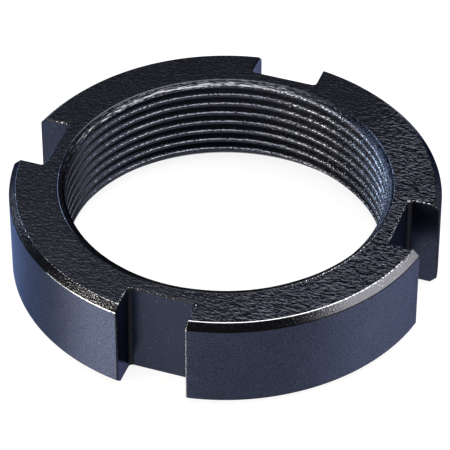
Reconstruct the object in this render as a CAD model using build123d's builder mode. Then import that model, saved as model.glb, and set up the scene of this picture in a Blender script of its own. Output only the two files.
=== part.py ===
from build123d import *
import math
import os

# A slotted round jam nut: one turned steel ring with a fine internal thread and four slots for a hook spanner.
# Millimetres, +Z up. The origin is the centre of the lower bearing face, and the slots lie on the X and Y axes.

# Turned ring
outer_diameter = 54.5
height = 12.7
outer_chamfer = 0.85

# Fine metric thread, right-hand: its crests stand on the core diameter and its grooves reach the thread diameter.
# groove_level is the height of the groove's middle on the +X side, at its lowest crossing.
thread_diameter = 42.0
thread_pitch = 1.5
groove_level = 0.5036

# A shallow relief ring lies round the upper mouth, and each mouth is countersunk: the countersink's size is
# measured across the face, and its slope in degrees down from the face.
relief_diameter = 42.4
relief_depth = 0.06
upper_countersink = 0.4
upper_countersink_slope = 30
lower_countersink = 1.5
lower_countersink_slope = 45

# Slots for a hook spanner
slot_count = 4
slot_width = 8.75
slot_floor_distance = 22.8
slot_root_radius = 0.5
slot_edge_chamfer = 0.12

# An internal metric thread is five eighths as deep as the sharp triangle on its pitch, with 60 degrees between its
# flanks, flats of a quarter of the pitch on its crests and of an eighth in its roots
thread_depth_ratio = 5 / 8 * math.sin(math.radians(60))
crest_share = 1 / 4
root_share = 1 / 8
flank_slope = math.tan(math.radians(30))

# How far the cutters reach past the material
cutter_reach = 0.5
upright_tolerance = 0.001

# Sizes that follow from those above
outer_radius = outer_diameter / 2
groove_depth = thread_depth_ratio * thread_pitch
core_radius = thread_diameter / 2 - groove_depth
groove_mouth = (1 - crest_share) * thread_pitch + 2 * cutter_reach * flank_slope
groove_root = root_share * thread_pitch
groove_start = groove_level - thread_pitch
groove_turns = math.ceil((height - groove_start) / thread_pitch)
mouth_level = height - relief_depth
upper_mouth_depth = (upper_countersink + cutter_reach) * math.tan(math.radians(upper_countersink_slope))
lower_mouth_depth = (lower_countersink + cutter_reach) * math.tan(math.radians(lower_countersink_slope))
cutter_length = outer_radius - slot_floor_distance + outer_chamfer


def from_axis(place):
    """Distance of a point or a corner from the ring's axis."""
    return math.hypot(place.X, place.Y)


def left_by_cutter(edge):
    """True for a sharp edge of a slot: not a turned edge, and not a smooth line along a rounded root corner."""
    if from_axis(edge @ 0.5) < slot_floor_distance - slot_edge_chamfer:
        return False
    turned = edge.geom_type == GeomType.CIRCLE and from_axis(edge.arc_center) < slot_edge_chamfer
    upright = 1 - abs((edge % 0.5).Z) < upright_tolerance
    root_line = upright and from_axis(edge @ 0.5) < outer_radius - outer_chamfer
    return not turned and not root_line


with BuildPart() as jam_nut:
    # The ring's section with its outer chamfers, turned round the axis
    with BuildSketch(Plane.XZ) as section:
        with BuildLine():
            Polyline(
                (core_radius, 0),
                (core_radius, height),
                (outer_radius - outer_chamfer, height),
                (outer_radius, height - outer_chamfer),
                (outer_radius, outer_chamfer),
                (outer_radius - outer_chamfer, 0),
                close=True,
            )
        make_face()
    revolve(axis=Axis.Z)

    # The thread: one groove with sloping flanks, cut along a helix that climbs through the bore
    with BuildLine() as thread_path:
        Helix(thread_pitch, groove_turns * thread_pitch, core_radius, center=(0, 0, groove_start))
    across_path = Plane(origin=thread_path.line @ 0, x_dir=(1, 0, 0), z_dir=thread_path.line % 0)
    with BuildSketch(across_path) as groove:
        with BuildLine():
            Polyline(
                (-cutter_reach, -groove_mouth / 2),
                (-cutter_reach, groove_mouth / 2),
                (groove_depth, groove_root / 2),
                (groove_depth, -groove_root / 2),
                close=True,
            )
        make_face()
    sweep(path=thread_path.line, is_frenet=True, mode=Mode.SUBTRACT)

    # The upper mouth: relief ring and countersink, turned in one go
    with BuildSketch(Plane.XZ) as upper_mouth:
        with BuildLine():
            Polyline(
                (core_radius - cutter_reach, height + cutter_reach),
                (core_radius - cutter_reach, mouth_level - upper_mouth_depth),
                (core_radius + upper_countersink, mouth_level),
                (relief_diameter / 2, height),
                (relief_diameter / 2, height + cutter_reach),
                close=True,
            )
        make_face()
    revolve(axis=Axis.Z, mode=Mode.SUBTRACT)

    # The lower mouth's countersink
    with BuildSketch(Plane.XZ) as lower_mouth:
        with BuildLine():
            Polyline(
                (core_radius - cutter_reach, 0),
                (core_radius - cutter_reach, lower_mouth_depth),
                (core_radius + lower_countersink, 0),
                close=True,
            )
        make_face()
    revolve(axis=Axis.Z, mode=Mode.SUBTRACT)

    # Slots through the full height, with flat floors and rounded root corners
    with BuildSketch() as slots:
        with PolarLocations(slot_floor_distance + cutter_length / 2, slot_count):
            Rectangle(cutter_length, slot_width)
        root_corners = slots.vertices().sort_by(from_axis)[: 2 * slot_count]
        fillet(root_corners, radius=slot_root_radius)
    extrude(amount=height, mode=Mode.SUBTRACT)

    # Every edge that the slot cutter left is broken with a small chamfer
    chamfer(jam_nut.edges().filter_by(left_by_cutter), length=slot_edge_chamfer)

jam_nut.part.label = "jam_nut"

os.makedirs("parts", exist_ok=True)
export_step(jam_nut.part, "parts/jam_nut.step")
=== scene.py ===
import math

import bmesh
import bpy
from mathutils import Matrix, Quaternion, Vector


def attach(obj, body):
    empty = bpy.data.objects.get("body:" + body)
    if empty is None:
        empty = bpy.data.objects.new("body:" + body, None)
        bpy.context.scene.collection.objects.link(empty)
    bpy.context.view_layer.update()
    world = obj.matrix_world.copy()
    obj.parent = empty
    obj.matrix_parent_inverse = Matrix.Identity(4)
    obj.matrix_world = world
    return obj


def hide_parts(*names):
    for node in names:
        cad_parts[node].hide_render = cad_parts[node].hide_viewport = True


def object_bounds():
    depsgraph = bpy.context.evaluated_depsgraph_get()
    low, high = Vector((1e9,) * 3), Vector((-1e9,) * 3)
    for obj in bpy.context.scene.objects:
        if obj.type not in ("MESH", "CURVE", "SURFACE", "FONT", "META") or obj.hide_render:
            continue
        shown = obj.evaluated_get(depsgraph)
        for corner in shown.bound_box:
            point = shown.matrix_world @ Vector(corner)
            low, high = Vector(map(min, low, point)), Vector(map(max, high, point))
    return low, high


# A slotted round jam nut in blackened steel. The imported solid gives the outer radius, the height and the
# place; the other sizes are the drawing's own, in metres. +Z is the thread's axis, and the slots lie on the
# X and Y axes.

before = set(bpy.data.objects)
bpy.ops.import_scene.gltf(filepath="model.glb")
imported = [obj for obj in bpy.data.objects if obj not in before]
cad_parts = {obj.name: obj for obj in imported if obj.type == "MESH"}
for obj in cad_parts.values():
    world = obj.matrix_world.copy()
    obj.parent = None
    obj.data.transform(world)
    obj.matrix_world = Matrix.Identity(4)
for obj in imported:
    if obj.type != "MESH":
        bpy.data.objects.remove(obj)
cad_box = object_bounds()
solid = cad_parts["jam_nut"]

mm = 0.001

# The turned ring
outer_radius = max(math.hypot(v.co.x, v.co.y) for v in solid.data.vertices)
height = cad_box[1].z
outer_chamfer = 0.85 * mm
turned_edge_round = 0.085 * mm

# The slots for a hook spanner
slot_count = 4
slot_spacing = 360 / slot_count
slot_half_width = 8.75 / 2 * mm
slot_floor = 22.8 * mm
slot_root_radius = 0.5 * mm
slot_edge_round = 0.2 * mm

# The M42 x 1.5 thread, right-hand. An internal metric thread is five eighths as deep as the sharp triangle
# on its pitch. The corners of a crest and of a root are given in pitches from the crest's middle, and the
# first crest's depth is the one on the far side of the bore.
thread_pitch = 1.5 * mm
thread_major_radius = 21.0 * mm
thread_depth = 5 / 8 * math.sin(math.radians(60)) * thread_pitch
thread_core_radius = thread_major_radius - thread_depth
crest_corner = 1 / 8
root_corner = 7 / 16
flank_slope = math.tan(math.radians(30))
first_crest_depth = 0.49 * mm

# The relief round the upper mouth, and the two countersinks: their size across the face, and their slope
relief_depth = 0.06 * mm
upper_countersink = 0.4 * mm
upper_slope = math.radians(30)
lower_countersink = 1.5 * mm
lower_slope = math.radians(45)

# The fine groove that a facing tool left round the smooth ring at the upper mouth: radius and depth of its
# points
face_edge = (21.30 * mm, 0.0)
groove_floor = (21.17 * mm, 0.08 * mm)
ring_edge = (21.05 * mm, 0.015 * mm)

# The photograph's view, from a camera fitted to the nut's edges. Angles are in degrees, the lens and the
# sensor in millimetres, and the distance is to the nut's middle.
camera_azimuth = 19.55
camera_elevation = 40.14
camera_distance = 390.1 * mm
camera_lens = 245.6
camera_sensor = 36.0
aim_left = 0.052 * mm
aim_below = 0.71 * mm

# How finely the meshes are divided: steps round a turn, along a tooth's rim, round a slot's root corner and
# round an edge. The rows beside a thread's corner stand a little off it, in pitches, and those on a flank
# at two shares of it.
turn_steps = 360
tooth_steps = 72
root_steps = 8
round_steps = 3
row_off_corner = 0.02
rows_on_flank = (0.35, 0.65)

# Points nearer than merge_distance become one, an edge steeper than sharp_angle is shaded as a sharp one,
# and a turned edge flatter than flat_angle has no round
merge_distance = 0.002 * mm
sharp_angle = math.radians(16)
flat_angle = math.radians(20)

# How much of the black skin is rubbed off an edge, from 0 for none to about 1 for most of it. Teeth and
# slots count on from +X towards +Y. The wear of a tooth's top edge goes from its start to its end. The foot
# of its upper chamfer is worn from a share of its length on. Its first corner is the upright edge that it
# starts with. Every other edge has the least wear.
top_edge_wear = ((0.5, 0.2), (0.1, 0.1), (0.15, 0.75), (1.3, 0.65))
chamfer_foot_wear = (0.1, 0.1, 0.95, 0.2)
foot_worn_from = 0.66
first_corner_wear = (0.15, 0.1, 0.15, 0.95)
slot_wall_wear = (0.65, 0.15, 0.6, 0.4)
slot_floor_wear = (0.6, 0.1, 0.15, 0.3)
least_edge_wear = 0.1

# The smooth ring's edge is worn a little all round, and more in rubbed stretches: the middle of each in
# degrees from +X, a power that narrows it, and the wear that it adds
ring_edge_wear = 0.2
ring_rubs = ((-20, 3, 0.45), (175, 2, 0.05))

# In the bore, one side is rubbed most: its turn from the far side in degrees. A crest's skin is rubbed
# along its upper corner, and the wear there falls off onto the flank and onto the crest, by so much a
# pitch.
rubbed_side_turn = -20
crest_wear_all_round = 0.35
crest_wear_on_side = 1.0
fade_onto_flank = 12.0
fade_onto_crest = 40.0

# The mouth's wear, its turn from the rubbed side in radians, and how deep it reaches in pitches
mouth_wear_all_round = 0.04
mouth_wear_on_side = 0.56
mouth_wear_turn = 0.7
mouth_wear_depth = 0.28

# The speckle inside the bore: its turn from the rubbed side in radians, a power that narrows it, and its
# wear
speckle_turn = -0.5
speckle_power = 4.0
speckle_wear = 0.35

# The kinds of face, in the order of their finishes
FACE, WALL, CHAMFER, SLOT, ROOT, THREAD, MOUTH, EDGE = range(8)


def ring_point(radius, degrees, level):
    """A point at a radius and an angle from +X, on a level."""
    angle = math.radians(degrees)
    return Vector((radius * math.cos(angle), radius * math.sin(angle), level))


def half_slot():
    """The slot on +X, from its floor round a root corner to its wall, on the side towards +Y."""
    inner = slot_half_width - slot_root_radius
    points = [(slot_floor, inner)]
    for step in range(1, root_steps + 1):
        angle = math.radians(90 * step / root_steps)
        along = slot_floor + slot_root_radius * (1 - math.cos(angle))
        points.append((along, inner + slot_root_radius * math.sin(angle)))
    return points


def slot_stations(points, turn, slot):
    """Stations along points of the slot on +X, turned to their own slot: two points each, and wear."""
    on_wall = slot_wall_wear[slot % slot_count]
    on_floor = slot_floor_wear[slot % slot_count]
    stations = []
    for x, y in points:
        lower = ring_point(math.hypot(x, y), turn + math.degrees(math.atan2(y, x)), 0.0)
        worn = on_wall if x > slot_floor + slot_root_radius / 2 else on_floor
        stations.append(([lower + Vector((0, 0, height)), lower], (worn, least_edge_wear)))
    return stations


def tooth_stations(quarter, turn):
    """Stations along a tooth's rim, from one slot to the next: four points down the section, and wear."""
    rim_radius = outer_radius - outer_chamfer
    section = [(rim_radius, height), (outer_radius, height - outer_chamfer),
               (outer_radius, outer_chamfer), (rim_radius, 0.0)]
    top_start, top_end = top_edge_wear[quarter]
    stations = []
    for step in range(tooth_steps + 1):
        share = step / tooth_steps
        points = []
        for radius, level in section:
            wall = math.degrees(math.asin(slot_half_width / radius))
            points.append(ring_point(radius, turn + wall + share * (slot_spacing - 2 * wall), level))
        foot = chamfer_foot_wear[quarter] if step > tooth_steps * foot_worn_from else least_edge_wear
        wear = [top_start + (top_end - top_start) * share, foot, least_edge_wear, least_edge_wear]
        if step == 0:
            wear[0] = min(top_start, slot_wall_wear[quarter])
            wear[1:3] = [first_corner_wear[quarter]] * 2
        if step == tooth_steps:
            wear[1:3] = [least_edge_wear] * 2
        stations.append((points, wear))
    return stations


def outline_stations():
    """The nut's outline in order, counter-clockwise. Each station is its points from the upper face to the
    lower, and how far each is worn."""
    forwards = half_slot()
    backwards = [(x, -y) for x, y in reversed(forwards)]
    stations = []
    for quarter in range(slot_count):
        turn = slot_spacing * quarter
        stations += slot_stations([(slot_floor, 0.0)] + forwards, turn, quarter)
        stations += tooth_stations(quarter, turn)
        stations += slot_stations(backwards, turn + slot_spacing, quarter + 1)
    return stations


def ring_wear(degrees):
    """How far the smooth ring's edge is worn, at an angle from +X."""
    worn = ring_edge_wear
    for middle, power, most in ring_rubs:
        worn += most * max(0.0, math.cos(math.radians(degrees - middle))) ** power
    return worn


def weigh_edges(mesh):
    """Gives the edges to be rounded their bevel weight: whole for what the slot cutter left, and less for
    the edges between the turned faces."""
    weight = mesh.edges.layers.float.new("bevel_weight_edge")
    mesh.normal_update()
    for edge in mesh.edges:
        if len(edge.link_faces) != 2 or max(math.hypot(v.co.x, v.co.y) for v in edge.verts) < slot_floor:
            continue
        kinds = {f.material_index for f in edge.link_faces}
        turned = kinds - {SLOT, ROOT}
        if turned and turned != kinds:
            edge[weight] = 1.0
        elif turned and edge.calc_face_angle() > flat_angle:
            edge[weight] = turned_edge_round / slot_edge_round


def nut_outside():
    """The nut's skin apart from the bore, as a mesh with its wear and its bevel weights."""
    mesh = bmesh.new()
    wear = mesh.verts.layers.float.new("wear")

    def corner(place, worn):
        made = mesh.verts.new(place)
        made[wear] = worn
        return made

    def face(corners, kind):
        made = mesh.faces.new(corners)
        made.material_index = kind
        made.smooth = True

    def circle(radius, level):
        places = [360 * i / turn_steps for i in range(turn_steps)]
        return [corner(ring_point(radius, degrees, level), ring_wear(degrees)) for degrees in places]

    def flat_face(rim, inner, facing_up):
        """One flat face in quarters, each from the middle of a slot's floor to the next one's."""
        per_quarter = len(rim) // slot_count
        steps = turn_steps // slot_count
        for quarter in range(slot_count):
            outside = [rim[(quarter * per_quarter + i) % len(rim)] for i in range(per_quarter + 1)]
            inside = [inner[(quarter * steps + i) % turn_steps] for i in range(steps + 1)]
            corners = outside + inside[::-1]
            face(corners if facing_up else corners[::-1], FACE)

    def band(outer, inner, kind):
        """A ring of faces, seen from above, between two circles."""
        for i in range(turn_steps):
            j = (i + 1) % turn_steps
            face([outer[i], outer[j], inner[j], inner[i]], kind)

    # The sides, station by station round the outline. Only a tooth's stations have four points, and a short
    # step within a slot is part of a rounded root corner.
    stations = [[corner(*each) for each in zip(*station)] for station in outline_stations()]
    for here, there in zip(stations, stations[1:] + stations[:1]):
        if len(here) == len(there) == 4:
            for upper, kind in enumerate((CHAMFER, WALL, CHAMFER)):
                face([here[upper], here[upper + 1], there[upper + 1], there[upper]], kind)
        else:
            short = (here[0].co - there[0].co).length < slot_root_radius
            face(here + there[::-1], ROOT if short else SLOT)

    # The faces, with the groove round the upper mouth
    upper_rings = [circle(radius, height - depth) for radius, depth in (face_edge, groove_floor, ring_edge)]
    flat_face([station[0] for station in stations], upper_rings[0], True)
    band(upper_rings[0], upper_rings[1], FACE)
    band(upper_rings[1], upper_rings[2], EDGE)
    lower_mouth = circle(thread_core_radius + lower_countersink, 0.0)
    flat_face([station[-1] for station in stations], lower_mouth, False)

    weigh_edges(mesh)
    data = bpy.data.meshes.new("nut_outside")
    mesh.to_mesh(data)
    mesh.free()
    return data


def wire(tree, socket, value):
    """Gives a socket a value: a number, a vector, or another node's output."""
    if isinstance(value, bpy.types.NodeSocket):
        tree.links.new(value, socket)
    else:
        socket.default_value = value


def add_math(tree, operation, *values, clamp=False):
    """Adds one step of arithmetic, and gives its result."""
    node = tree.nodes.new("ShaderNodeMath")
    node.operation = operation
    node.use_clamp = clamp
    for socket, value in zip(node.inputs, values):
        wire(tree, socket, value)
    return node.outputs[0]


def add_node(tree, kind, inputs=None, **settings):
    """Adds a node with its settings and its inputs."""
    node = tree.nodes.new(kind)
    for name, value in settings.items():
        setattr(node, name, value)
    for name, value in (inputs or {}).items():
        wire(tree, node.inputs[name], value)
    return node


def thread_rows():
    """Where the rows of one pitch lie, in pitches from the crest's middle: two at each corner, two on each
    flank."""
    flank = root_corner - crest_corner
    rows = [0, crest_corner - row_off_corner, crest_corner + row_off_corner]
    rows += [crest_corner + flank * share for share in rows_on_flank]
    rows += [root_corner - row_off_corner, root_corner + row_off_corner, 0.5]
    return rows + [1 - row for row in reversed(rows[1:-1])]


def place_in_pitch(tree, share_of_rows):
    """Where a row lies in its pitch. The rows aren't evenly spaced, so a curve gives each its place."""
    places = thread_rows() + [1.0]
    last = len(places) - 1
    spacing = tree.nodes.new("ShaderNodeFloatCurve")
    line = spacing.mapping.curves[0].points
    for index, where in enumerate(places):
        share = index / last
        if 0 < index < last:
            point = line.new(share, where)
        else:
            point = line[0 if index == 0 else -1]
        point.location = (share, where)
        point.handle_type = "VECTOR"
    spacing.mapping.update()
    wire(tree, spacing.inputs["Value"], share_of_rows)
    return spacing.outputs["Value"]


def bore_wear(m, given, angle, from_crest, level):
    """How far the skin is rubbed off the bore: along the upper corner of each crest, round the mouth, and
    in a speckle towards one side."""

    def towards(turn):
        """1 on the line that is turned that far from the rubbed side, and 0 from a quarter turn away."""
        return m("MAXIMUM", m("COSINE", m("SUBTRACT", angle, m("ADD", given["Rubbed Side"], turn))), 0.0)

    past_corner = m("SUBTRACT", m("DIVIDE", from_crest, given["Pitch"]), crest_corner)
    on_flank = m("MULTIPLY", m("MAXIMUM", past_corner, 0.0), fade_onto_flank)
    on_crest = m("MULTIPLY", m("MAXIMUM", m("MULTIPLY", past_corner, -1.0), 0.0), fade_onto_crest)
    at_corner = m("MULTIPLY_ADD", towards(0.0), crest_wear_on_side, crest_wear_all_round)
    crest = m("MAXIMUM", m("SUBTRACT", m("SUBTRACT", at_corner, on_flank), on_crest), 0.0)

    below_mouth = m("SUBTRACT", given["Mouth Level"], level)
    mouth_foot = m("MULTIPLY", given["Pitch"], mouth_wear_depth)
    mouth = m("MULTIPLY_ADD", towards(mouth_wear_turn), mouth_wear_on_side, mouth_wear_all_round)
    mouth = m("MULTIPLY", m("LESS_THAN", below_mouth, mouth_foot), mouth)

    inside = m("GREATER_THAN", below_mouth, mouth_foot)
    speckle = m("MULTIPLY", m("POWER", towards(speckle_turn), speckle_power), inside)
    return m("ADD", m("MAXIMUM", crest, mouth), m("MULTIPLY", speckle, speckle_wear))


def thread_tree():
    """Geometry Nodes that close the nut's skin with its threaded bore: a sheet of turns and rows, laid on
    the helix."""
    tree = bpy.data.node_groups.new("threaded_bore", "GeometryNodeTree")
    tree.is_modifier = True
    sockets = tree.interface
    sockets.new_socket("Outside", in_out="INPUT", socket_type="NodeSocketGeometry")
    lengths_and_angles = (
        "Pitch", "Core Radius", "Thread Depth", "First Crest Level", "Lowest Row", "Mouth Radius",
        "Mouth Level", "Mouth Slope", "Foot Radius", "Foot Slope", "Ring Radius", "Ring Level",
        "Rubbed Side")
    for name in lengths_and_angles:
        sockets.new_socket(name, in_out="INPUT", socket_type="NodeSocketFloat")
    for name in ("Steps per Turn", "Rows", "Rows per Pitch"):
        sockets.new_socket(name, in_out="INPUT", socket_type="NodeSocketInt")
    for name in ("Material", "Mouth Material"):
        sockets.new_socket(name, in_out="INPUT", socket_type="NodeSocketMaterial")
    sockets.new_socket("Nut", in_out="OUTPUT", socket_type="NodeSocketGeometry")
    given = tree.nodes.new("NodeGroupInput").outputs

    def m(operation, *values):
        return add_math(tree, operation, *values)

    def position():
        where = tree.nodes.new("GeometryNodeInputPosition").outputs[0]
        return add_node(tree, "ShaderNodeSeparateXYZ", {0: where}).outputs

    # A flat sheet: across it the share of one turn, up it the row, of which the last is the ring's edge
    sheet = add_node(tree, "GeometryNodeMeshGrid", {
        "Size X": 1.0, "Size Y": 1.0,
        "Vertices X": m("ADD", given["Steps per Turn"], 1), "Vertices Y": given["Rows"]})
    on_sheet = position()
    share = m("ADD", on_sheet["X"], 0.5)
    last_row = m("SUBTRACT", given["Rows"], 1)
    row = m("ROUND", m("MULTIPLY", m("ADD", on_sheet["Y"], 0.5), last_row))

    # Each row climbs by one pitch in one turn, and is held between the two mouths. The small share keeps a
    # row that starts a pitch from falling to the one below.
    pitches = m("DIVIDE", row, given["Rows per Pitch"])
    whole = m("FLOOR", m("ADD", pitches, 0.001))
    within = place_in_pitch(tree, m("SUBTRACT", pitches, whole))
    from_lowest = m("MULTIPLY", m("ADD", whole, within), given["Pitch"])
    level_at_start = m("ADD", from_lowest, given["Lowest Row"])
    climbing = m("MULTIPLY_ADD", share, given["Pitch"], level_at_start)
    level = m("MAXIMUM", m("MINIMUM", climbing, given["Mouth Level"]), 0.0)

    # The thread's form: a crest an eighth of the pitch to each side, 60 degree flanks, and a root at full
    # depth
    half_pitch = m("MULTIPLY", given["Pitch"], 0.5)
    unwound = m("SUBTRACT", level, m("MULTIPLY", share, given["Pitch"]))
    from_crest = m("WRAP", m("SUBTRACT", unwound, given["First Crest Level"]), half_pitch,
                   m("MULTIPLY", half_pitch, -1))
    into_flank = m("SUBTRACT", m("ABSOLUTE", from_crest), m("MULTIPLY", given["Pitch"], crest_corner))
    groove = m("DIVIDE", into_flank, flank_slope)
    groove = m("MINIMUM", m("MAXIMUM", groove, 0.0), given["Thread Depth"])
    thread = m("ADD", given["Core Radius"], groove)

    # The countersinks cut the crests away towards the mouths
    below_mouth = m("SUBTRACT", given["Mouth Level"], level)
    above = m("SUBTRACT", given["Mouth Radius"],
              m("DIVIDE", below_mouth, m("TANGENT", given["Mouth Slope"])))
    below = m("SUBTRACT", given["Foot Radius"],
              m("DIVIDE", level, m("TANGENT", given["Foot Slope"])))
    radius = m("MAXIMUM", thread, m("MAXIMUM", above, below))

    # The last row leaves the helix for the ring's edge
    on_ring = m("COMPARE", row, last_row, 0.5)
    on_helix = m("SUBTRACT", 1, on_ring)
    radius = m("ADD", m("MULTIPLY", radius, on_helix), m("MULTIPLY", given["Ring Radius"], on_ring))
    level = m("ADD", m("MULTIPLY", level, on_helix), m("MULTIPLY", given["Ring Level"], on_ring))
    angle = m("MULTIPLY", share, 2 * math.pi)
    across = m("MULTIPLY", radius, m("COSINE", angle))
    along = m("MULTIPLY", radius, m("SINE", angle))
    target = add_node(tree, "ShaderNodeCombineXYZ", {"X": across, "Y": along, "Z": level})

    rubbed = bore_wear(m, given, angle, from_crest, level)
    bore = add_node(tree, "GeometryNodeStoreNamedAttribute", {
        "Geometry": sheet.outputs["Mesh"], "Name": "wear", "Value": rubbed},
        data_type="FLOAT", domain="POINT")
    bore = add_node(tree, "GeometryNodeSetPosition", {
        "Geometry": bore.outputs[0], "Position": target.outputs[0]})
    bore = add_node(tree, "GeometryNodeFlipFaces", {"Mesh": bore.outputs[0]})
    bore = add_node(tree, "GeometryNodeSetShadeSmooth", {"Geometry": bore.outputs[0], "Shade Smooth": True})

    # The bore's finish, and the mouth's own down to the foot of its countersink
    bore = add_node(tree, "GeometryNodeSetMaterial", {
        "Geometry": bore.outputs[0], "Material": given["Material"]})
    countersink = m("MULTIPLY", m("SUBTRACT", given["Mouth Radius"], given["Core Radius"]),
                    m("TANGENT", given["Mouth Slope"]))
    at_mouth = m("GREATER_THAN", position()["Z"], m("SUBTRACT", given["Mouth Level"], countersink))
    bore = add_node(tree, "GeometryNodeSetMaterial", {
        "Geometry": bore.outputs[0], "Selection": at_mouth, "Material": given["Mouth Material"]})

    # The bore closes the skin, and the steep edges are marked for shading
    joined = tree.nodes.new("GeometryNodeJoinGeometry")
    tree.links.new(bore.outputs[0], joined.inputs[0])
    tree.links.new(given["Outside"], joined.inputs[0])
    merged = add_node(tree, "GeometryNodeMergeByDistance", {
        "Geometry": joined.outputs[0], "Distance": merge_distance})
    fold = tree.nodes.new("GeometryNodeInputMeshEdgeAngle").outputs["Unsigned Angle"]
    crisp = add_node(tree, "GeometryNodeStoreNamedAttribute", {
        "Geometry": merged.outputs[0], "Name": "sharp_edge", "Value": m("GREATER_THAN", fold, sharp_angle)},
        data_type="BOOLEAN", domain="EDGE")
    real = add_node(tree, "GeometryNodeRealizeInstances", {"Geometry": crisp.outputs[0]})
    tree.links.new(real.outputs[0], tree.nodes.new("NodeGroupOutput").inputs[0])
    return tree


def set_inputs(modifier, values):
    """Sets a Geometry Nodes modifier's inputs by name, through their identifiers."""
    identifiers = {item.name: item.identifier for item in modifier.node_group.interface.items_tree
                   if item.item_type == "SOCKET" and item.in_out == "INPUT"}
    for name, value in values.items():
        modifier[identifiers[name]] = value


def make_nut(materials):
    """The whole nut as one closed mesh: outside, threaded bore and rounded edges."""
    data = nut_outside()
    for material in materials:
        data.materials.append(material)
    nut = bpy.data.objects.new("jam_nut_body", data)
    bpy.context.scene.collection.objects.link(nut)

    # The first crest's level on +X follows from its depth on the far side. Past the rows of the whole
    # pitches there are two more: the one that ends the last pitch, and the ring's edge.
    far_side = 90 + camera_azimuth
    crest = height - first_crest_depth - thread_pitch * far_side / 360
    per_pitch = len(thread_rows())
    pitches_below = math.ceil(crest / thread_pitch) + 1
    pitches_above = math.ceil((height - crest) / thread_pitch)
    bore = nut.modifiers.new("bore", "NODES")
    bore.node_group = thread_tree()
    set_inputs(bore, {
        "Pitch": thread_pitch, "Core Radius": thread_core_radius, "Thread Depth": thread_depth,
        "First Crest Level": crest, "Lowest Row": crest - pitches_below * thread_pitch,
        "Mouth Radius": thread_core_radius + upper_countersink, "Mouth Level": height - relief_depth,
        "Mouth Slope": upper_slope, "Foot Radius": thread_core_radius + lower_countersink,
        "Foot Slope": lower_slope, "Ring Radius": ring_edge[0], "Ring Level": height - ring_edge[1],
        "Rubbed Side": math.radians(far_side + rubbed_side_turn), "Steps per Turn": turn_steps,
        "Rows": (pitches_below + pitches_above) * per_pitch + 2, "Rows per Pitch": per_pitch,
        "Material": materials[THREAD], "Mouth Material": materials[MOUTH]})
    rounded = nut.modifiers.new("rounded_edges", "BEVEL")
    rounded.limit_method = "WEIGHT"
    rounded.width = slot_edge_round
    rounded.segments = round_steps
    rounded.material = EDGE
    rounded.harden_normals = True

    # The finished mesh takes the modifiers' place. It can come with empty material slots behind the
    # finishes, which aren't kept.
    evaluated = nut.evaluated_get(bpy.context.evaluated_depsgraph_get())
    whole = bpy.data.meshes.new_from_object(evaluated)
    nut.modifiers.clear()
    while whole.materials[-1] is None:
        whole.materials.pop()
    nut.data = whole
    whole.name = "jam_nut_body"
    return nut


def pattern_group(name, inputs, outputs):
    """A shader group with nothing in it yet: inputs are (name, default), outputs are names, and all are
    numbers. It comes with its given values, its results and the place on the object."""
    tree = bpy.data.node_groups.new(name, "ShaderNodeTree")
    for label, default in inputs:
        socket = tree.interface.new_socket(label, in_out="INPUT", socket_type="NodeSocketFloat")
        socket.default_value = default
    for label in outputs:
        tree.interface.new_socket(label, in_out="OUTPUT", socket_type="NodeSocketFloat")
    given = tree.nodes.new("NodeGroupInput").outputs
    result = tree.nodes.new("NodeGroupOutput").inputs
    place = tree.nodes.new("ShaderNodeTexCoord").outputs["Object"]
    return tree, given, result, place


def per_metre(tree, size):
    """A noise scale from a feature's size in millimetres."""
    return add_math(tree, "DIVIDE", 1 / mm, size)


def noise(tree, place, scale, detail=2.0, roughness=0.5, distortion=0.0):
    """A noise pattern's value, about 0.5 on average."""
    return add_node(tree, "ShaderNodeTexNoise", {
        "Vector": place, "Scale": scale, "Detail": detail, "Roughness": roughness,
        "Distortion": distortion}).outputs["Fac"]


def ramp(tree, value, low, high):
    """0 below low, 1 above high, and a smooth step between."""
    return add_node(tree, "ShaderNodeMapRange", {"Value": value, "From Min": low, "From Max": high},
                    interpolation_type="SMOOTHSTEP").outputs["Result"]


def make_wrinkles():
    """Leathery ripples, deepest towards +X and nearly gone on the far side, where they start.

    Size and Grain are the widths of the ripples and of the fine grain in them, and Start is where on the X
    axis they set in, all in millimetres. Calm is the share of their depth that stays before that."""
    tree, given, result, place = pattern_group(
        "wrinkled_skin", [("Size", 0.6), ("Grain", 0.3), ("Calm", 0.05), ("Start", 6.5)],
        ["Height", "Rippled"])
    drawn_out = (0.6, 1.0, 1.0)
    lean_to_front = -0.15
    patch_size = 9 * mm
    patch_shift = 8 * mm
    setting_in = 23.5 * mm
    grain_at_start, grain_gained = 0.1, 0.2

    drawn = add_node(tree, "ShaderNodeVectorMath", {0: place, 1: drawn_out},
                     operation="MULTIPLY").outputs[0]
    broad = noise(tree, drawn, per_metre(tree, given["Size"]), detail=1.5, distortion=0.8)
    fine = noise(tree, drawn, per_metre(tree, given["Grain"]), detail=0.0)

    # The ripples set in patch by patch along a line that leans towards the front
    where = add_node(tree, "ShaderNodeSeparateXYZ", {0: place}).outputs
    across = add_math(tree, "MULTIPLY_ADD", where["Y"], lean_to_front, where["X"])
    patches = noise(tree, place, 1 / patch_size, detail=1.0)
    reached = add_math(tree, "MULTIPLY_ADD", patches, patch_shift, across)
    start = add_math(tree, "MULTIPLY", given["Start"], mm)
    rippled = ramp(tree, reached, start, add_math(tree, "ADD", start, setting_in))
    wire(tree, result["Rippled"], rippled)

    deep = add_math(tree, "MULTIPLY", broad, add_math(tree, "MAXIMUM", rippled, given["Calm"]))
    shallow = add_math(tree, "MULTIPLY_ADD", rippled, grain_gained, grain_at_start)
    wire(tree, result["Height"], add_math(tree, "MULTIPLY_ADD", fine, shallow, deep))
    return tree


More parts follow.
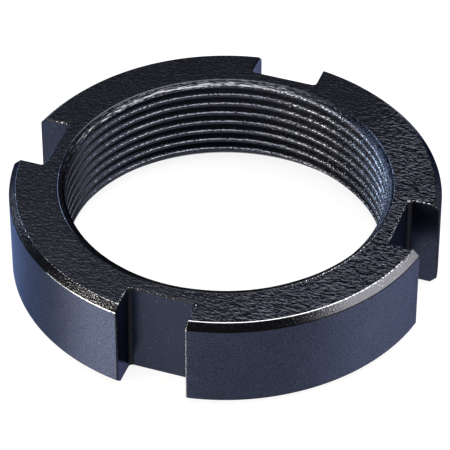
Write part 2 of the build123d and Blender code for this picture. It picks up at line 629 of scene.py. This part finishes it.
def make_grain():
    """Fine mottling of a machined, blackened surface, broad clouds, and the spots where the skin is worn
    through.

    Size and Spot Size are in millimetres. Spot Share is 0 for hardly a spot and about 1 for bare steel."""
    tree, given, result, place = pattern_group(
        "fine_grain", [("Size", 0.25), ("Stretch", 1.0), ("Spot Size", 0.3), ("Spot Share", 0.0)],
        ["Grain", "Cloud", "Spots"])
    cloud_size = 6 * mm
    cloud_limits = (0.3, 0.7)
    spot_limit = 0.82
    limit_drop = 0.5
    spot_crispness = 12.0

    # A stretched pattern is drawn out round the Z axis, and stays fine across it
    share = add_math(tree, "DIVIDE", 1.0, given["Stretch"])
    at = add_node(tree, "ShaderNodeSeparateXYZ", {0: place}).outputs
    squares = [add_math(tree, "MULTIPLY", at[axis], at[axis]) for axis in "XY"]
    from_axis = add_math(tree, "SQRT", add_math(tree, "ADD", *squares))
    rest = add_math(tree, "MULTIPLY_ADD", from_axis, add_math(tree, "SUBTRACT", 1.0, share), at["Z"])
    drawn = add_node(tree, "ShaderNodeCombineXYZ", {
        "X": add_math(tree, "MULTIPLY", at["X"], share), "Y": add_math(tree, "MULTIPLY", at["Y"], share),
        "Z": rest}).outputs["Vector"]

    wire(tree, result["Grain"], noise(tree, drawn, per_metre(tree, given["Size"])))
    wire(tree, result["Cloud"], ramp(tree, noise(tree, place, 1 / cloud_size), *cloud_limits))

    # A spot shows where its noise is above a limit, and the share lowers that limit
    spots = noise(tree, drawn, per_metre(tree, given["Spot Size"]), detail=1.0)
    lowered = add_math(tree, "MULTIPLY", given["Spot Share"], limit_drop)
    above = add_math(tree, "SUBTRACT", spots, add_math(tree, "SUBTRACT", spot_limit, lowered))
    wire(tree, result["Spots"], add_math(tree, "MULTIPLY", above, spot_crispness, clamp=True))
    return tree


def blend(tree, share, one, other):
    """Mixes two colours, through the colour sockets of a Mix node."""
    node = add_node(tree, "ShaderNodeMix", data_type="RGBA")
    wire(tree, node.inputs["Factor"], share)
    for socket, value in ((node.inputs[6], one), (node.inputs[7], other)):
        wire(tree, socket, value if isinstance(value, bpy.types.NodeSocket) else (*value, 1))
    return node.outputs[2]


def steel_finish(name, skin, roughness, metallic=1.0, rim=(0.45, 0.5, 0.7), grain=0.25, stretch=1.0,
                 grain_depth=0.0, patchy_gloss=0.2, grainy=0.0, spots=None, bare=(0.5, 0.5, 0.5), worn=0.0,
                 turned=0.0):
    """One finish of the nut: a blackened skin with cloudy colour, uneven gloss, fine grain and bare spots.

    skin is its colour, and rim the tint of its gloss at a glancing view. grain is the grain's size and
    grain_depth its depth, in millimetres, and stretch how far it is drawn out round the axis. grainy is how
    far the grain shades the colour, and patchy_gloss how far it changes the roughness. spots are the size
    and share of the bare places, bare is their colour, and worn the share that the wear attribute adds to
    them. turned is how far the gloss is drawn across the turning marks."""
    cloudy = 0.06
    grain_contrast = 4
    quarter_turn = 0.25
    material = bpy.data.materials.new(name)
    material.use_nodes = True
    tree = material.node_tree
    shader = tree.nodes["Principled BSDF"]
    shader.inputs["Specular Tint"].default_value = (*rim, 1)
    marks = add_node(tree, "ShaderNodeGroup", node_tree=grain_group)
    marks.inputs["Size"].default_value = grain
    marks.inputs["Stretch"].default_value = stretch
    uneven = add_math(tree, "SUBTRACT", marks.outputs["Grain"], 0.5)

    # The colour swings about the skin's own, with the clouds and with the grain
    spread = cloudy + grainy
    darker = tuple(c * (1 - spread) for c in skin)
    lighter = tuple(c * (1 + spread) for c in skin)
    clouds = add_math(tree, "SUBTRACT", marks.outputs["Cloud"], 0.5)
    shade = add_math(tree, "ADD", add_math(tree, "MULTIPLY", clouds, cloudy / spread), 0.5)
    shade = add_math(tree, "MULTIPLY_ADD", uneven, grain_contrast * grainy / spread, shade, clamp=True)
    colour = blend(tree, shade, darker, lighter)
    metal = metallic
    if spots:
        spot_size, spot_share = spots
        marks.inputs["Spot Size"].default_value = spot_size
        marks.inputs["Spot Share"].default_value = spot_share
        if worn:
            rubbed = add_node(tree, "ShaderNodeAttribute", attribute_name="wear").outputs["Fac"]
            wire(tree, marks.inputs["Spot Share"], add_math(tree, "MULTIPLY_ADD", rubbed, worn, spot_share))
        colour = blend(tree, marks.outputs["Spots"], colour, bare)
        if metallic < 1:
            metal = add_math(tree, "MAXIMUM", marks.outputs["Spots"], metallic)
    wire(tree, shader.inputs["Base Color"], colour)
    wire(tree, shader.inputs["Metallic"], metal)
    wire(tree, shader.inputs["Roughness"], add_math(tree, "MULTIPLY_ADD", uneven, patchy_gloss, roughness))
    if grain_depth:
        bump = add_node(tree, "ShaderNodeBump", {
            "Height": marks.outputs["Grain"], "Distance": grain_depth * mm})
        wire(tree, shader.inputs["Normal"], bump.outputs["Normal"])
    if turned:
        shader.inputs["Anisotropic"].default_value = turned
        shader.inputs["Anisotropic Rotation"].default_value = quarter_turn
        along = add_node(tree, "ShaderNodeTangent", direction_type="RADIAL", axis="Z")
        wire(tree, shader.inputs["Tangent"], along.outputs["Tangent"])
    return material


def wrinkle(material, depth, darker=0.0, **sizes):
    """Lays the wrinkled skin over a finish: its depth in millimetres, how much darker it is where it is
    rippled, and the values of the skin's own inputs."""
    tree = material.node_tree
    skin = add_node(tree, "ShaderNodeGroup", sizes, node_tree=wrinkle_group)
    bump = add_node(tree, "ShaderNodeBump", {"Height": skin.outputs["Height"], "Distance": depth * mm})
    colour = tree.nodes["Principled BSDF"].inputs["Base Color"]
    if darker:
        share = add_math(tree, "MULTIPLY", skin.outputs["Rippled"], darker)
        wire(tree, colour, blend(tree, share, colour.links[0].from_socket, (0, 0, 0)))
    normal = tree.nodes["Principled BSDF"].inputs["Normal"]
    if normal.is_linked:
        wire(tree, bump.inputs["Normal"], normal.links[0].from_socket)
    wire(tree, normal, bump.outputs["Normal"])
    return material


def make_finishes():
    """The finishes in the order of the face kinds: face, wall, chamfer, slot, root, thread, mouth, edge."""
    face = steel_finish("wrinkled_black_face", (0.057, 0.059, 0.073), 0.28, spots=(0.2, 0.1))
    wall = steel_finish(
        "satin_black_wall", (0.07, 0.082, 0.134), 0.6, rim=(0.28, 0.31, 0.4), grain=0.15, grain_depth=0.01,
        grainy=0.35, spots=(0.16, 0.2), bare=(0.35, 0.35, 0.35), turned=0.9)
    chamfer = steel_finish(
        "bright_black_chamfer", (0.118, 0.117, 0.128), 0.16, rim=(0.08, 0.1, 0.16), grain=0.2,
        grain_depth=0.035, patchy_gloss=0.1, spots=(0.2, 0.08), bare=(0.7, 0.72, 0.8), worn=0.34)
    slot = steel_finish(
        "milled_black_slot", (0.031, 0.037, 0.061), 0.18, metallic=0.8, rim=(0.28, 0.33, 0.48), grain=0.15,
        grain_depth=0.012, patchy_gloss=0.1, grainy=0.4, spots=(0.16, 0.14))
    # The slots' root corners have a dull gloss. Their skin is darker and less metallic than the slot's:
    # painted shade in those recesses.
    root = steel_finish(
        "dull_black_root_painted_shade", (0.016, 0.017, 0.023), 0.5, metallic=0.3, rim=(0.1, 0.1, 0.15))
    # The thread's skin is the steel's own black, made darker still than the outer skins as painted shade
    # inside the bore.
    thread = steel_finish(
        "glossy_black_thread_painted_shade", (0.028, 0.03, 0.042), 0.17, metallic=0.55, rim=(0.1, 0.14, 0.25), grain=0.12,
        stretch=3, grain_depth=0.016, patchy_gloss=0.1, grainy=0.3, spots=(0.1, 0.14),
        bare=(0.23, 0.24, 0.27), worn=0.95)
    mouth = steel_finish(
        "rubbed_black_mouth", (0.018, 0.019, 0.025), 0.28, rim=(0.35, 0.4, 0.5), grain=0.12, stretch=9,
        grain_depth=0.016, patchy_gloss=0.1, grainy=0.3, spots=(0.14, 0.08), bare=(0.24, 0.24, 0.255),
        worn=0.95)
    edge = steel_finish(
        "worn_edge", (0.022, 0.022, 0.025), 0.25, spots=(0.15, 0.0), bare=(0.55, 0.55, 0.57), worn=1.0)
    wrinkle(face, 0.36, darker=0.3)
    wrinkle(thread, 0.12, Size=0.28, Grain=0.15, Calm=0.02, Start=-12.0)
    wrinkle(mouth, 0.2, Size=0.5, Grain=0.25, Calm=0.02, Start=-2.0)
    return [face, wall, chamfer, slot, root, thread, mouth, edge]


def make_camera():
    """The photograph's camera, aimed a little below the nut's middle, as the photograph is framed."""
    azimuth = math.radians(camera_azimuth)
    elevation = math.radians(camera_elevation)
    level_share = math.cos(elevation)
    back = Vector((math.sin(azimuth) * level_share, -math.cos(azimuth) * level_share, math.sin(elevation)))
    right = Vector((math.cos(azimuth), math.sin(azimuth), 0))
    middle = Vector((0, 0, height / 2))
    data = bpy.data.cameras.new("camera")
    data.lens = camera_lens
    data.sensor_width = camera_sensor
    data.clip_start = 0.01
    data.clip_end = 20
    camera = bpy.data.objects.new("camera", data)
    camera.location = middle + back * camera_distance
    aim = middle - right * aim_left - Vector((0, 0, aim_below))
    camera.rotation_mode = "QUATERNION"
    camera.rotation_quaternion = (camera.location - aim).to_track_quat("Z", "Y")
    bpy.context.scene.collection.objects.link(camera)
    bpy.context.scene.camera = camera


def make_floor():
    """A sheet of paper that takes the nut's shadow and looks white, also where the steel mirrors it."""
    half_width = 3.0
    paper_grey = 0.22
    paper_glow = 0.88
    data = bpy.data.meshes.new("floor")
    corners = [(x * half_width, y * half_width, 0) for x, y in ((-1, -1), (1, -1), (1, 1), (-1, 1))]
    data.from_pydata(corners, [], [(0, 1, 2, 3)])
    floor = bpy.data.objects.new("floor", data)
    bpy.context.scene.collection.objects.link(floor)
    material = bpy.data.materials.new("floor_paper")
    material.use_nodes = True
    tree = material.node_tree
    tree.nodes.clear()
    rays = tree.nodes.new("ShaderNodeLightPath").outputs
    seen = add_math(tree, "MAXIMUM", rays["Is Camera Ray"], rays["Is Glossy Ray"])
    seen = add_math(tree, "MAXIMUM", seen, rays["Is Transmission Ray"])
    glow = add_node(tree, "ShaderNodeEmission", {
        "Color": (1, 1, 1, 1), "Strength": add_math(tree, "MULTIPLY", seen, paper_glow)})
    paper = add_node(tree, "ShaderNodeBsdfDiffuse", {"Color": (paper_grey, paper_grey, paper_grey, 1)})
    both = tree.nodes.new("ShaderNodeAddShader")
    tree.links.new(glow.outputs[0], both.inputs[0])
    tree.links.new(paper.outputs[0], both.inputs[1])
    tree.links.new(both.outputs[0], tree.nodes.new("ShaderNodeOutputMaterial").inputs[0])
    floor.data.materials.append(material)


def add_lamp(name, towards, distance, size, strength, colour=(1, 1, 1), turn=0.0):
    """A soft box: towards is the direction from the nut as the camera sees it (right, away, up), and turn
    is how far the box is turned about that line, in degrees."""
    azimuth = math.radians(camera_azimuth)
    right = Vector((math.cos(azimuth), math.sin(azimuth), 0))
    away = Vector((-math.sin(azimuth), math.cos(azimuth), 0))
    direction = (right * towards[0] + away * towards[1] + Vector((0, 0, towards[2]))).normalized()
    data = bpy.data.lights.new(name, "AREA")
    data.shape = "RECTANGLE"
    data.size, data.size_y = size
    data.energy = strength
    data.color = colour
    lamp = bpy.data.objects.new(name, data)
    lamp.location = direction * distance
    lamp.rotation_mode = "QUATERNION"
    about_line = Quaternion((0, 0, 1), math.radians(turn))
    lamp.rotation_quaternion = direction.to_track_quat("Z", "Y") @ about_line
    bpy.context.scene.collection.objects.link(lamp)


def make_room():
    """The room round the nut: a pale haze near the floor that gives way to a dark ceiling."""
    haze, ceiling = (0.12, 0.14, 0.18), (0.03, 0.032, 0.04)
    haze_ends_from, haze_ends_at = 0.02, 0.22
    world = bpy.data.worlds.new("studio")
    world.use_nodes = True
    tree = world.node_tree
    direction = tree.nodes.new("ShaderNodeTexCoord").outputs["Generated"]
    up = add_node(tree, "ShaderNodeSeparateXYZ", {0: direction}).outputs["Z"]
    room = blend(tree, ramp(tree, up, haze_ends_from, haze_ends_at), haze, ceiling)
    wire(tree, tree.nodes["Background"].inputs["Color"], room)
    bpy.context.scene.world = world


def make_light():
    """Soft boxes overhead, to the right and low on the left, a cool window behind on the left, and the
    room."""
    add_lamp("overhead_box", (0.08, 0.095, 0.5), 0.515, (0.64, 0.49), 3.2, turn=40.1)
    add_lamp("right_box", (0.85, -0.06, 0.5), 0.6, (0.57, 0.35), 1.7)
    add_lamp("left_strip", (-0.8, -0.54, 0.259), 0.6, (0.4, 0.26), 4.1, (1.0, 0.94, 0.81))
    add_lamp("back_window", (-0.606, 0.674, 0.423), 0.6, (0.34, 0.24), 2.45, (0.64, 0.8, 1.0))
    make_room()


bpy.context.scene.view_settings.view_transform = "Standard"
wrinkle_group = make_wrinkles()
grain_group = make_grain()
nut = make_nut(make_finishes())
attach(nut, "root")
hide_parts("jam_nut")
make_floor()
make_light()
make_camera()
